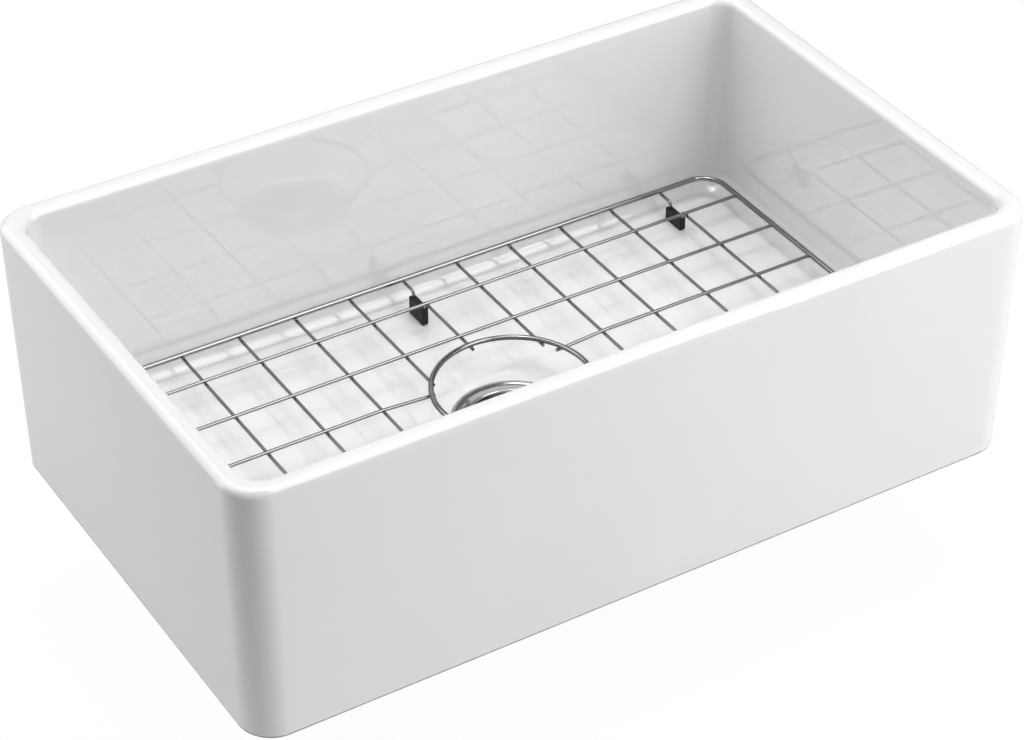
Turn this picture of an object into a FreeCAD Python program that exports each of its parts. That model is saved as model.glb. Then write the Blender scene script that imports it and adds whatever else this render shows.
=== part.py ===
import FreeCAD, Part
import math
import os

# Farmhouse apron front sink: a one-piece glazed basin, a lift-out wire bottom grid on
# rubber feet, and a basket strainer with its seals, nuts and tailpiece below the drain.
# Millimetres. +X runs along the sink, +Y to the back wall, +Z up. The origin is on the
# drain's axis at the level of the basin's underside.

V = FreeCAD.Vector
UP = V(0, 0, 1)

# Basin, outside
sink_length = 762.0
sink_width = 457.0
sink_height = 252.0
outer_corner_radius = 31.0
end_lean = 3.8              # each end is this much further in at the base than at the rim
side_lean = 2.7             # the same for the front and the back
rim_edge_radius = 9.0
base_edge_radius = 1.5

# Basin, inside
rim_flat = 2.0              # at the ends; the bowl's shift makes it narrower in front and wider behind
bowl_shift = 1.0            # how much nearer the bowl lies to the front
lip_radius = 8.5            # the rim's rounding into the bowl
inner_corner_radius = 20.0
inner_lean = 3.0            # the bowl is this much narrower at its floor, on each side
floor_level = 38.2          # at the rim of the dish round the drain
floor_slope = 0.032         # the floor's rise away from the drain
floor_fillet = 17.0

# Drain hole and the shallow dish around it
dish_radius = 150.0
dish_drop = 6.0
dish_edge_radius = 1.5
flange_recess_gap = 2.5     # from the strainer's flange to the wall of its recess
flange_recess_depth = 3.0
drain_hole_clearance = 1.2
clamp_thickness = 19.2      # glazed body left between the flange seat and the nut's recess
nut_recess_gap = 13.0       # room for a wrench round the gasket under the basin

# Strainer body
flange_radius = 55.8
flange_thickness = 0.9
lip_crown = 1.0             # how far the raised lip stands above the flange
lip_width = 5.0
lip_crown_inset = 1.0       # from the flange's edge to the flat on top of the lip
lip_crown_width = 1.2
thread_radius = 43.8
body_wall = 1.2
throat_depth = 11.0         # from the flange's underside to the ledge that holds the basket
ledge_width = 2.0
barrel_length = 40.5        # from the flange's underside to the funnel
funnel_drop = 16.0
neck_radius = 23.5
neck_wall = 3.0
neck_length = 18.0
spider_thickness = 2.5
spider_arm_width = 3.0
spider_arms = 4
spider_hub_radius = 9.0
spider_hole_radius = 6.4
spider_arm_bite = 1.5       # how far the arms run into the neck's wall

# Seals and nuts under the basin
putty_thickness = 1.0
putty_width = 8.0
putty_inset = 1.0           # from the flange's edge
gasket_radius = 62.0
gasket_thickness = 3.0
friction_ring_radius = 60.0
friction_ring_thickness = 1.0
lock_nut_radius = 55.0
lock_nut_height = 11.0
lock_nut_lugs = 8
lock_nut_lug_length = 4.0
lock_nut_lug_width = 10.0
thread_clearance = 0.1

# Tailpiece and its coupling nut
tailpiece_radius = 19.05
tailpiece_wall = 1.15
tailpiece_length = 102.0
tailpiece_flange_thickness = 1.5
tailpiece_flange_bend = 0.8 # the bend between the tube and its flange
tailpiece_flange_gap = 0.2
washer_thickness = 1.9
coupling_nut_radius = 28.5
coupling_nut_height = 15.0
coupling_nut_lip = 2.6
coupling_nut_passage_gap = 0.95
coupling_nut_ribs = 12
coupling_nut_rib_radius = 1.8

# Basket
basket_rim_gap = 0.4
basket_rim_thickness = 1.0
basket_depth = 27.0
basket_wall = 1.0
basket_wall_gap = 1.4       # from the cup to the bore below the ledge
basket_seat_gap = 0.2
basket_hole_radius = 2.0
basket_hole_pitch = 9.2
basket_hole_ring_count = 3
basket_first_ring_radius = 13.0
basket_ring_spacing = 8.0
basket_slot_count = 20
basket_slot_width = 3.0
basket_slot_margin = 6.0

# Basket post, knob, stopper and clip
post_radius = 3.2
journal_radius = 4.3
running_clearance = 0.06
collar_radius = 6.5
post_head_radius = 5.2
post_head_thickness = 1.2
post_end_drop = 4.0         # below the spider
stopper_thickness = 4.5
stopper_gap = 0.35          # from the seat in the funnel
stopper_drop = 5.2          # from the cup's underside to the top of the stopper
clip_radius = 5.9
clip_height = 2.6
clip_bevel = 1.0
knob_radius = 9.0
knob_neck_radius = 4.8
knob_base_radius = 7.0
knob_base_thickness = 2.0
knob_height = 18.0
knob_cap_thickness = 6.0
knob_edge_radius = 2.0

# Bottom grid
grid_end_gap = 16.8         # from the bowl's end at the rim to the frame wire
grid_side_gap = 13.0        # from the bowl's front or back at the rim to the frame wire
frame_wire = 4.8
frame_corner_radius = 24.0
ring_wire = 4.8
ring_radius = 72.9
cross_wire = 3.0
cross_wire_count = 11
cross_wire_margin = 57.95   # from the frame wire at the end to the first cross wire
long_wire = 3.2
long_wire_count = 6
long_wire_margin = 44.1     # from the frame wire at the front or back to the first long wire
weld_gap = 0.05
stub_length = 3.5           # how far a wire's cut end shows inside the drain ring
ramp_length = 44.0          # the cut long wires dip under the drain ring over this length
ramp_bend_radius = 12.0

# Feet of the grid
foot_length = 24.6
foot_width = 6.5
foot_height = 18.2          # of the middle feet; the corner feet stand on higher floor
foot_inset = 26.3           # from the frame wire to the middle of a foot
foot_edge_radius = 0.5
foot_seat_gap = 0.2
foot_drop = 6.2             # from the cross wires' axis to the top of a foot
dip_depth = 12.0            # how far a cross wire bends down into its foot
dip_length = 18.0
dip_bend_radius = 3.5

# What follows from the sizes above
rim_width = rim_edge_radius + rim_flat + lip_radius
bowl_half_length = sink_length / 2 - rim_width
bowl_half_width = sink_width / 2 - rim_width
bowl_reach = math.hypot(bowl_half_length, bowl_half_width)
drain_hole_radius = thread_radius + drain_hole_clearance
flange_recess_radius = flange_radius + flange_recess_gap
dish_bottom = floor_level - dish_drop
flange_seat = dish_bottom - flange_recess_depth
nut_recess_radius = gasket_radius + nut_recess_gap
nut_recess_top = flange_seat - clamp_thickness
flange_underside = flange_seat + putty_thickness
bore_radius = thread_radius - body_wall
lower_bore_radius = bore_radius - ledge_width
ledge_level = flange_underside - throat_depth
funnel_top = flange_underside - barrel_length
funnel_bottom = funnel_top - funnel_drop
neck_bore_radius = neck_radius - neck_wall
neck_end = funnel_bottom - neck_length
gasket_underside = nut_recess_top - gasket_thickness
friction_ring_underside = gasket_underside - friction_ring_thickness
basket_rim_underside = ledge_level + basket_seat_gap
basket_rim_radius = bore_radius - basket_rim_gap
cup_radius = lower_bore_radius - basket_wall_gap
cup_underside = basket_rim_underside + basket_rim_thickness - basket_depth
cup_floor = cup_underside + basket_wall
stopper_top = cup_underside - stopper_drop
stopper_underside = stopper_top - stopper_thickness
spider_underside = funnel_bottom - spider_thickness
post_end = spider_underside - post_end_drop
frame_half_length = bowl_half_length - grid_end_gap - frame_wire / 2
frame_half_width = bowl_half_width - grid_side_gap - frame_wire / 2
foot_row = frame_half_width - foot_inset
foot_outer_end = foot_row + foot_length / 2
foot_top = floor_level + floor_slope * (foot_outer_end - dish_radius) + foot_seat_gap + foot_height
cross_level = foot_top + foot_drop
long_level = cross_level + (cross_wire + long_wire) / 2 + weld_gap
frame_level = cross_level + (cross_wire + frame_wire) / 2 + weld_gap
ring_level = cross_level + (cross_wire + ring_wire) / 2 + weld_gap
cross_half_span = frame_half_length - cross_wire_margin
cross_pitch = 2 * cross_half_span / (cross_wire_count - 1)
long_half_span = frame_half_width - long_wire_margin
long_pitch = 2 * long_half_span / (long_wire_count - 1)
middle_column = cross_wire_count // 2


def rounded_rectangle(half_length, half_width, radius, level):
    """A closed wire of four lines and four quarter arcs."""
    x, y, r = half_length, half_width, radius
    k = r * (1 - math.sqrt(0.5))
    corners = (
        (V(x - r, -y, level), V(x - k, -y + k, level), V(x, -y + r, level)),
        (V(x, y - r, level), V(x - k, y - k, level), V(x - r, y, level)),
        (V(-x + r, y, level), V(-x + k, y - k, level), V(-x, y - r, level)),
        (V(-x, -y + r, level), V(-x + k, -y + k, level), V(-x + r, -y, level)),
    )
    edges = []
    for number, (start, middle, end) in enumerate(corners):
        edges.append(Part.Arc(start, middle, end).toShape())
        following = corners[(number + 1) % len(corners)][0]
        edges.append(Part.LineSegment(end, following).toShape())
    return Part.Wire(edges)


def turned(*outline):
    """A solid of revolution about Z from (radius, level) points."""
    points = [V(radius, 0, level) for radius, level in outline]
    face = Part.Face(Part.makePolygon(points + points[:1]))
    return face.revolve(V(0, 0, 0), UP, 360)


def ring(outer_radius, inner_radius, bottom, top):
    """A flat ring about Z."""
    return turned((inner_radius, bottom), (outer_radius, bottom), (outer_radius, top), (inner_radius, top))


def level_edges(shape, level):
    """The edges of a shape that lie wholly at one level."""
    def lies_level(box):
        return abs(box.ZMin - level) < 0.01 and abs(box.ZMax - level) < 0.01
    return [edge for edge in shape.Edges if lies_level(edge.BoundBox)]


def bent_wire(points, bend_radius, diameter):
    """A round wire along straight runs joined by tangent arcs."""
    edges = []
    start = points[0]
    for before, corner, after in zip(points, points[1:], points[2:]):
        back = (before - corner).normalize()
        ahead = (after - corner).normalize()
        half_turn = (math.pi - back.getAngle(ahead)) / 2
        setback = bend_radius * math.tan(half_turn)
        inward = (back + ahead).normalize()
        middle = corner + inward * (bend_radius / math.cos(half_turn) - bend_radius)
        edges.append(Part.LineSegment(start, corner + back * setback).toShape())
        edges.append(Part.Arc(corner + back * setback, middle, corner + ahead * setback).toShape())
        start = corner + ahead * setback
    edges.append(Part.LineSegment(start, points[-1]).toShape())
    section = Part.Wire(Part.makeCircle(diameter / 2, points[0], points[1] - points[0]))
    return Part.Wire(edges).makePipeShell([section], True, True)


def floor_height(radius):
    """The level of the sloping floor at a distance from the drain's axis."""
    return floor_level + floor_slope * (radius - dish_radius)


def basin():
    """The glazed basin, one casting with its drain hole."""
    base = rounded_rectangle(sink_length / 2 - end_lean, sink_width / 2 - side_lean, outer_corner_radius, 0)
    rim = rounded_rectangle(sink_length / 2, sink_width / 2, outer_corner_radius, sink_height)
    block = Part.makeLoft([base, rim], True, True)
    block = block.makeFillet(base_edge_radius, level_edges(block, 0))
    block = block.makeFillet(rim_edge_radius, level_edges(block, sink_height))
    body = block.cut(bowl_cavity())
    body = body.makeFillet(lip_radius, inner_rim_edges(body))
    body = body.cut(drain_dish())
    dish_edge = [edge for edge in level_edges(body, dish_bottom) if isinstance(edge.Curve, Part.Circle)]
    body = body.makeFillet(dish_edge_radius, dish_edge)
    hole = Part.makeCylinder(drain_hole_radius, floor_level, V(0, 0, 0), UP)
    nut_recess = Part.makeCylinder(nut_recess_radius, nut_recess_top, V(0, 0, 0), UP)
    return body.cut(hole.fuse(nut_recess))


def bowl_cavity():
    """The bowl's hollow, run a little past the rim so that it cuts clean."""
    overshoot = rim_edge_radius
    spread = inner_lean * overshoot / (sink_height - floor_level)
    floor = rounded_rectangle(
        bowl_half_length - inner_lean, bowl_half_width - inner_lean, inner_corner_radius, floor_level)
    mouth = rounded_rectangle(
        bowl_half_length + spread, bowl_half_width + spread, inner_corner_radius, sink_height + overshoot)
    hollow = Part.makeLoft([floor, mouth], True, True)
    hollow.translate(V(0, -bowl_shift, 0))
    hollow = hollow.cut(floor_mound())
    return hollow.makeFillet(floor_fillet, floor_wall_edges(hollow))


def floor_mound():
    """What stands in the hollow under the sloping floor, outside the dish."""
    below = floor_level - dish_drop
    reach = bowl_reach + rim_width
    return turned(
        (dish_radius, below),
        (reach, below),
        (reach, floor_height(reach)),
        (dish_radius, floor_level),
    )


def floor_wall_edges(hollow):
    """The edges where the sloping floor meets the walls."""
    highest = floor_height(bowl_reach)
    edges = []
    for edge in hollow.Edges:
        box = edge.BoundBox
        beyond_dish = max(abs(box.XMin), abs(box.XMax), abs(box.YMin), abs(box.YMax)) > dish_radius + 1
        if beyond_dish and box.ZMax < highest and box.ZMin > floor_level:
            edges.append(edge)
    return edges


def inner_rim_edges(body):
    """The edges where the rim's flat turns down into the bowl."""
    inside_x = bowl_half_length + rim_width / 2
    inside_y = bowl_half_width + rim_width / 2
    edges = []
    for edge in level_edges(body, sink_height):
        box = edge.BoundBox
        if max(abs(box.XMin), abs(box.XMax)) < inside_x and max(abs(box.YMin), abs(box.YMax)) < inside_y:
            edges.append(edge)
    return edges


def drain_dish():
    """What is taken out of the floor round the drain: a wide dish and the flange's recess."""
    run = dish_radius - flange_recess_radius
    curve_radius = (run * run + dish_drop * dish_drop) / (2 * dish_drop)
    half_angle = math.asin(run / curve_radius) / 2
    middle = V(dish_radius - curve_radius * math.sin(half_angle), 0,
               floor_level - curve_radius * (1 - math.cos(half_angle)))
    outer = V(dish_radius, 0, floor_level)
    inner = V(flange_recess_radius, 0, dish_bottom)
    above = V(dish_radius, 0, floor_level + dish_drop)
    edges = [
        Part.Arc(outer, middle, inner).toShape(),
        Part.LineSegment(inner, V(flange_recess_radius, 0, flange_seat)).toShape(),
        Part.LineSegment(V(flange_recess_radius, 0, flange_seat), V(0, 0, flange_seat)).toShape(),
        Part.LineSegment(V(0, 0, flange_seat), V(0, 0, above.z)).toShape(),
        Part.LineSegment(V(0, 0, above.z), above).toShape(),
        Part.LineSegment(above, outer).toShape(),
    ]
    return Part.Face(Part.Wire(edges)).revolve(V(0, 0, 0), UP, 360)


def strainer_body():
    """Flange, threaded barrel with the ledge for the basket, and funnel."""
    crown = flange_underside + flange_thickness + lip_crown
    dip = flange_underside + flange_thickness
    return turned(
        (bore_radius, ledge_level),
        (bore_radius, flange_underside - body_wall),
        (bore_radius + body_wall, flange_underside + body_wall / 2),
        (flange_radius - lip_width, dip),
        (flange_radius - lip_crown_inset - lip_crown_width, crown),
        (flange_radius - lip_crown_inset, crown),
        (flange_radius, dip),
        (flange_radius, flange_underside),
        (thread_radius, flange_underside),
        (thread_radius, funnel_top),
        (neck_radius, funnel_bottom),
        (neck_bore_radius, funnel_bottom),
        (lower_bore_radius, funnel_top),
        (lower_bore_radius, ledge_level),
    )


def strainer_neck():
    """A threaded neck below the funnel, with a spider across its mouth for the basket's post."""
    tube = ring(neck_radius, neck_bore_radius, neck_end, funnel_bottom)
    hub = Part.makeCylinder(spider_hub_radius, spider_thickness, V(0, 0, spider_underside), UP)
    arm_corner = V(0, -spider_arm_width / 2, spider_underside)
    arm = Part.makeBox(neck_bore_radius + spider_arm_bite, spider_arm_width, spider_thickness, arm_corner)
    hole = Part.makeCylinder(spider_hole_radius, spider_thickness, V(0, 0, spider_underside), UP)
    cross = hub.fuse(spun_copies(arm, spider_arms)).cut(hole)
    return tube.fuse(cross).removeSplitter()


def putty_ring():
    """Seals the flange to its seat."""
    outer = flange_radius - putty_inset
    return ring(outer, outer - putty_width, flange_seat, flange_underside)


def under_gasket():
    return ring(gasket_radius, thread_radius + thread_clearance, gasket_underside, nut_recess_top)


def friction_ring():
    bore = thread_radius + thread_clearance
    return ring(friction_ring_radius, bore, friction_ring_underside, gasket_underside)


def lock_nut():
    """A ring nut with lugs for a hammer or a wrench."""
    bottom = friction_ring_underside - lock_nut_height
    lug_height = lock_nut_height * 0.7
    nut = Part.makeCylinder(lock_nut_radius, lock_nut_height, V(0, 0, bottom), UP)
    for number in range(lock_nut_lugs):
        lug = Part.makeBox(lock_nut_radius + lock_nut_lug_length, lock_nut_lug_width, lug_height,
                           V(0, -lock_nut_lug_width / 2, bottom))
        lug.rotate(V(0, 0, 0), UP, number * 360 / lock_nut_lugs)
        nut = nut.fuse(lug)
    bore = Part.makeCylinder(thread_radius + thread_clearance, lock_nut_height, V(0, 0, bottom), UP)
    return nut.cut(bore).removeSplitter()


def tailpiece_washer():
    """Sits between the neck's end and the tailpiece's flange."""
    return ring(neck_radius, tailpiece_radius - tailpiece_wall, neck_end - washer_thickness, neck_end)


def tailpiece():
    """A flanged tube."""
    top = neck_end - washer_thickness
    flange_end = top - tailpiece_flange_thickness
    return turned(
        (tailpiece_radius - tailpiece_wall, top),
        (neck_radius, top),
        (neck_radius, flange_end),
        (tailpiece_radius + tailpiece_flange_bend, flange_end),
        (tailpiece_radius, flange_end - tailpiece_flange_bend),
        (tailpiece_radius, top - tailpiece_length),
        (tailpiece_radius - tailpiece_wall, top - tailpiece_length),
    )


def coupling_nut():
    """Threads on the neck and draws the tailpiece's flange up with its lip."""
    lip_top = neck_end - washer_thickness - tailpiece_flange_thickness - tailpiece_flange_gap
    bottom = lip_top - coupling_nut_lip
    top = bottom + coupling_nut_height
    nut = Part.makeCylinder(coupling_nut_radius, coupling_nut_height, V(0, 0, bottom), UP)
    for number in range(coupling_nut_ribs):
        angle = 2 * math.pi * number / coupling_nut_ribs
        at = V(coupling_nut_radius * math.cos(angle), coupling_nut_radius * math.sin(angle), bottom)
        nut = nut.fuse(Part.makeCylinder(coupling_nut_rib_radius, coupling_nut_height, at, UP))
    thread = Part.makeCylinder(neck_radius + thread_clearance, top - lip_top, V(0, 0, lip_top), UP)
    passage_radius = tailpiece_radius + coupling_nut_passage_gap
    passage = Part.makeCylinder(passage_radius, coupling_nut_lip, V(0, 0, bottom), UP)
    return nut.cut(thread.fuse(passage)).removeSplitter()


def basket_cup():
    """A perforated cup that hangs by its rim on the ledge in the strainer's throat."""
    rim_top = basket_rim_underside + basket_rim_thickness
    cup = turned(
        (journal_radius + running_clearance, cup_underside),
        (cup_radius, cup_underside),
        (cup_radius, basket_rim_underside),
        (basket_rim_radius, basket_rim_underside),
        (basket_rim_radius, rim_top),
        (cup_radius - basket_wall, rim_top),
        (cup_radius - basket_wall, cup_floor),
        (journal_radius + running_clearance, cup_floor),
    )
    slot_height = basket_depth - basket_wall - 2 * basket_slot_margin
    cuts = []
    for number in range(basket_hole_ring_count):
        radius = basket_first_ring_radius + number * basket_ring_spacing
        hole = Part.makeCylinder(basket_hole_radius, basket_wall, V(radius, 0, cup_underside), UP)
        cuts += spun_copies(hole, int(2 * math.pi * radius / basket_hole_pitch))
    slot_corner = V(cup_radius - 2 * basket_wall, -basket_slot_width / 2, cup_floor + basket_slot_margin)
    slot = Part.makeBox(3 * basket_wall, basket_slot_width, slot_height, slot_corner)
    cuts += spun_copies(slot, basket_slot_count)
    return cup.cut(cuts)


def spun_copies(shape, count):
    """Copies of a shape evenly spaced about Z."""
    copies = []
    for number in range(count):
        copy = shape.copy()
        copy.rotate(V(0, 0, 0), UP, number * 360 / count)
        copies.append(copy)
    return copies


def basket_post():
    """A headed post through the cup, the stopper, the spider and the clip."""
    head_top = post_end + post_head_thickness
    return turned(
        (0, post_end),
        (post_head_radius, post_end),
        (post_head_radius, head_top),
        (post_radius, head_top),
        (post_radius, stopper_top),
        (collar_radius, stopper_top),
        (collar_radius, cup_underside - basket_seat_gap),
        (journal_radius, cup_underside - basket_seat_gap),
        (journal_radius, cup_floor + basket_seat_gap),
        (post_radius, cup_floor + basket_seat_gap),
        (post_radius, cup_floor + knob_height / 2),
        (0, cup_floor + knob_height / 2),
    )


def basket_knob():
    """A mushroom knob screwed on the post."""
    base = cup_floor + basket_seat_gap
    top = base + knob_height
    knob = turned(
        (0, base),
        (knob_base_radius, base),
        (knob_base_radius, base + knob_base_thickness),
        (knob_neck_radius, base + knob_base_thickness),
        (knob_neck_radius, top - knob_cap_thickness),
        (knob_radius, top - knob_cap_thickness),
        (knob_radius, top),
        (0, top),
    )
    knob = knob.makeFillet(knob_edge_radius, level_edges(knob, top))
    bore_top = cup_floor + knob_height / 2 + running_clearance
    bore = Part.makeCylinder(post_radius + running_clearance, bore_top - base, V(0, 0, base), UP)
    return knob.cut(bore)


def basket_stopper():
    """A rubber plug whose edge stands just off the funnel."""
    slope = (lower_bore_radius - neck_bore_radius) / funnel_drop
    seat_radius = lower_bore_radius - slope * (funnel_top - stopper_underside)
    edge_radius = seat_radius - stopper_gap * math.sqrt(1 + slope * slope)
    bore = post_radius + running_clearance
    return turned(
        (bore, stopper_underside),
        (edge_radius, stopper_underside),
        (edge_radius + slope * stopper_thickness / 2, stopper_underside + stopper_thickness / 2),
        (collar_radius, stopper_top),
        (bore, stopper_top),
    )


def basket_clip():
    """A spring ring on the post's end that snaps through the spider."""
    bottom = post_end + post_head_thickness
    bore = post_radius + running_clearance
    return turned(
        (bore, bottom),
        (clip_radius - clip_bevel, bottom),
        (clip_radius, bottom + clip_height / 2),
        (clip_radius - clip_bevel, bottom + clip_height),
        (bore, bottom + clip_height),
    )


def grid_frame():
    """The grid's perimeter: one thick wire bent round."""
    path = rounded_rectangle(frame_half_length, frame_half_width, frame_corner_radius, frame_level)
    start = V(frame_half_length, 0, frame_level)
    straight = V(0, 1, 0)
    section = Part.Wire(Part.makeCircle(frame_wire / 2, start, straight))
    return path.makePipeShell([section], True, True)


def grid_ring():
    """The ring that the basket lifts out through."""
    return Part.makeTorus(ring_radius, ring_wire / 2, V(0, 0, ring_level), UP)


def ring_crossing(offset):
    """How far from the middle a wire at this offset runs under the drain ring."""
    return math.sqrt(ring_radius * ring_radius - offset * offset)


def long_wires(frame):
    """Wires along X on top of the cross wires; the pair by the drain stops under its ring."""
    shapes = {}
    for row in range(long_wire_count):
        number = row + 1
        offset = row * long_pitch - long_half_span
        if abs(offset) > ring_radius:
            ends = V(-frame_half_length, offset, long_level), V(frame_half_length, offset, long_level)
            shapes[f"long_wire_{number}"] = bent_wire(ends, 0, long_wire).cut(frame)
            continue
        inner_end = ring_crossing(offset) - stub_length
        ramp_end = ring_crossing(offset) + ring_wire
        for side, name in ((-1, "left"), (1, "right")):
            points = (
                V(side * frame_half_length, offset, long_level),
                V(side * (ramp_end + ramp_length), offset, long_level),
                V(side * ramp_end, offset, cross_level),
                V(side * inner_end, offset, cross_level),
            )
            shapes[f"long_wire_{number}_{name}"] = bent_wire(points, ramp_bend_radius, long_wire).cut(frame)
    return shapes


def footed_run(offset, side):
    """Points of a cross wire from its end to the inner side of its foot, with the dip into the foot."""
    def at(distance, level):
        return V(offset, side * distance, level)
    return [
        at(frame_half_width, cross_level),
        at(foot_row + dip_length / 2, cross_level),
        at(foot_row + dip_length / 2, cross_level - dip_depth),
        at(foot_row - dip_length / 2, cross_level - dip_depth),
        at(foot_row - dip_length / 2, cross_level),
    ]


def cross_wires():
    """Wires along Y under the frame; those by the drain stop under its ring."""
    shapes = {}
    for column in range(cross_wire_count):
        number = column + 1
        offset = column * cross_pitch - cross_half_span
        runs = {side: [V(offset, side * frame_half_width, cross_level)] for side in (-1, 1)}
        if column in (0, middle_column, cross_wire_count - 1):
            runs = {side: footed_run(offset, side) for side in (-1, 1)}
        if abs(offset) > ring_radius:
            points = runs[-1] + runs[1][::-1]
            shapes[f"cross_wire_{number}"] = bent_wire(points, dip_bend_radius, cross_wire)
            continue
        for side, name in ((-1, "front"), (1, "back")):
            end = V(offset, side * (ring_crossing(offset) - stub_length), cross_level)
            shapes[f"cross_wire_{number}_{name}"] = bent_wire(runs[side] + [end], dip_bend_radius, cross_wire)
    return shapes


def grid_feet(wires):
    """Rubber blocks moulded over the dips of the footed cross wires."""
    shapes = {}
    middle_offset = middle_column * cross_pitch - cross_half_span
    columns = ((-cross_half_span, "left"), (middle_offset, "middle"), (cross_half_span, "right"))
    for side, row_name in ((-1, "front"), (1, "back")):
        for offset, column_name in columns:
            outer_corner = math.hypot(abs(offset) + foot_width / 2, foot_outer_end)
            underside = floor_height(outer_corner) + foot_seat_gap
            corner = V(offset - foot_width / 2, side * foot_row - foot_length / 2, underside)
            block = Part.makeBox(foot_width, foot_length, foot_top - underside, corner)
            block = block.makeFillet(foot_edge_radius, block.Edges)
            for wire in wires.values():
                if wire.BoundBox.intersect(block.BoundBox):
                    block = block.cut(wire)
            shapes[f"grid_foot_{row_name}_{column_name}"] = block
    return shapes


def all_parts():
    """Every sub-part by name."""
    parts = {
        "basin": basin(),
        "strainer_body": strainer_body(),
        "strainer_neck": strainer_neck(),
        "putty_ring": putty_ring(),
        "under_gasket": under_gasket(),
        "friction_ring": friction_ring(),
        "lock_nut": lock_nut(),
        "tailpiece_washer": tailpiece_washer(),
        "tailpiece": tailpiece(),
        "coupling_nut": coupling_nut(),
        "basket_cup": basket_cup(),
        "basket_post": basket_post(),
        "basket_knob": basket_knob(),
        "basket_stopper": basket_stopper(),
        "basket_clip": basket_clip(),
        "grid_frame": grid_frame(),
        "grid_ring": grid_ring(),
    }
    parts.update(long_wires(parts["grid_frame"]))
    crossing = cross_wires()
    parts.update(crossing)
    parts.update(grid_feet(crossing))
    return parts


os.makedirs("parts", exist_ok=True)
for name, shape in all_parts().items():
    print(name, "solids", len(shape.Solids), "valid", shape.isValid(), "volume", round(shape.Volume, 1))
    shape.exportStep(f"parts/{name}.step")
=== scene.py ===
import math

import bmesh
import bpy
from mathutils import Matrix, Vector, noise


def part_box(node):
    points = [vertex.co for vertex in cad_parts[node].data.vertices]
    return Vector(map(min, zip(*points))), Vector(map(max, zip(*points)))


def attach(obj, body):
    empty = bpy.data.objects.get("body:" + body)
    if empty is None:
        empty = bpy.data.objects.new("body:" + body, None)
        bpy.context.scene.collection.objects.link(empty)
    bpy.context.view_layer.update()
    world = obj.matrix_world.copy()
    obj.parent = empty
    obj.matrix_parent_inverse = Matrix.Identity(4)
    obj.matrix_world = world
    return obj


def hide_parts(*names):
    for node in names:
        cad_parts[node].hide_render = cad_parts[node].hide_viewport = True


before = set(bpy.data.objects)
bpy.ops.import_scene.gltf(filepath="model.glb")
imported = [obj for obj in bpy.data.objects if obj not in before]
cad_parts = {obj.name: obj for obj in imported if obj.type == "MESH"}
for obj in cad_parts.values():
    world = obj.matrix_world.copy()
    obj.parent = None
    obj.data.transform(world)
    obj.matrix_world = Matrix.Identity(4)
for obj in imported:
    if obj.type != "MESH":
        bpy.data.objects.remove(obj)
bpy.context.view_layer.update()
print("frame loaded:", len(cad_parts), "nodes")

mm = 0.001  # the frame is in metres, and sizes below are in millimetres


# Mesh helpers

def newPiece(name, mesh, finish, body, replaced=(), sharpAngle=42):
    points, faces = mesh
    shell = bmesh.new()
    corners = [shell.verts.new(p) for p in points]
    for face in faces:
        shell.faces.new([corners[i] for i in face])
    bmesh.ops.recalc_face_normals(shell, faces=shell.faces)
    data = bpy.data.meshes.new(name)
    shell.to_mesh(data)
    shell.free()
    for face in data.polygons:
        face.use_smooth = True
    data.set_sharp_from_angle(angle=math.radians(sharpAngle))
    data.materials.append(finish)
    piece = bpy.data.objects.new(name, data)
    bpy.context.scene.collection.objects.link(piece)
    evenNormals = piece.modifiers.new("evenNormals", "WEIGHTED_NORMAL")
    evenNormals.keep_sharp = True
    evenNormals.weight = 80
    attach(piece, body)
    if replaced:
        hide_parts(*replaced)
    return piece


def skinLoops(loops, closed=False):
    # quads from each loop of points to the next
    count = len(loops[0])
    points = [p for loop in loops for p in loop]
    faces = []
    for row in range(len(loops) if closed else len(loops) - 1):
        near = row * count
        far = ((row + 1) % len(loops)) * count
        for i in range(count):
            j = (i + 1) % count
            faces.append((near + i, near + j, far + j, far + i))
    return points, faces


def capLoop(points, faces, first, count, middlePoint):
    # a fan that closes a loop
    middle = len(points)
    points.append(middlePoint)
    for i in range(count):
        faces.append((first + i, first + (i + 1) % count, middle))


def joinMeshes(meshes):
    points, faces = [], []
    for morePoints, moreFaces in meshes:
        shift = len(points)
        points += morePoints
        faces += [tuple(i + shift for i in face) for face in moreFaces]
    return points, faces


def spread(start, end, count):
    return [start + (end - start) * k / count for k in range(count + 1)]


def softOutline(corners, softness, steps=4):
    # rounds the corners of a closed outline of (radius, level, own softness or none)
    outline = []
    count = len(corners)
    flat = [Vector(corner[:2]) for corner in corners]
    for i, corner in enumerate(flat):
        back = flat[i - 1] - corner
        ahead = flat[(i + 1) % count] - corner
        own = corners[i][2] if len(corners[i]) > 2 else softness
        reach = min(own, back.length * 0.45, ahead.length * 0.45)
        start = corner + back.normalized() * reach
        end = corner + ahead.normalized() * reach
        for t in spread(0, 1, steps):
            outline.append(start * (1 - t) ** 2 + corner * 2 * t * (1 - t) + end * t * t)
    return outline


def turnedMesh(outline, segments=144, reshape=None):
    # an outline in millimetres turned about Z; reshape(angle, radius, level) may move the radius
    loops = []
    for radius, level in outline:
        loop = []
        for i in range(segments):
            angle = 2 * math.pi * i / segments
            r = reshape(angle, radius, level) if reshape else radius
            loop.append(Vector((r * math.cos(angle), r * math.sin(angle), level)) * mm)
        loops.append(loop)
    return skinLoops(loops, closed=True)


def solidTurnedMesh(outline, segments=96):
    # the same for an outline that starts and ends on the axis
    loops = []
    for radius, level in outline[1:-1]:
        loops.append([Vector((radius * math.cos(a), radius * math.sin(a), level)) * mm
                      for a in spread(0, 2 * math.pi, segments)[:-1]])
    points, faces = skinLoops(loops)
    capLoop(points, faces, 0, segments, Vector((0, 0, outline[0][1])) * mm)
    capLoop(points, faces, (len(loops) - 1) * segments, segments, Vector((0, 0, outline[-1][1])) * mm)
    return points, faces


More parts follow.
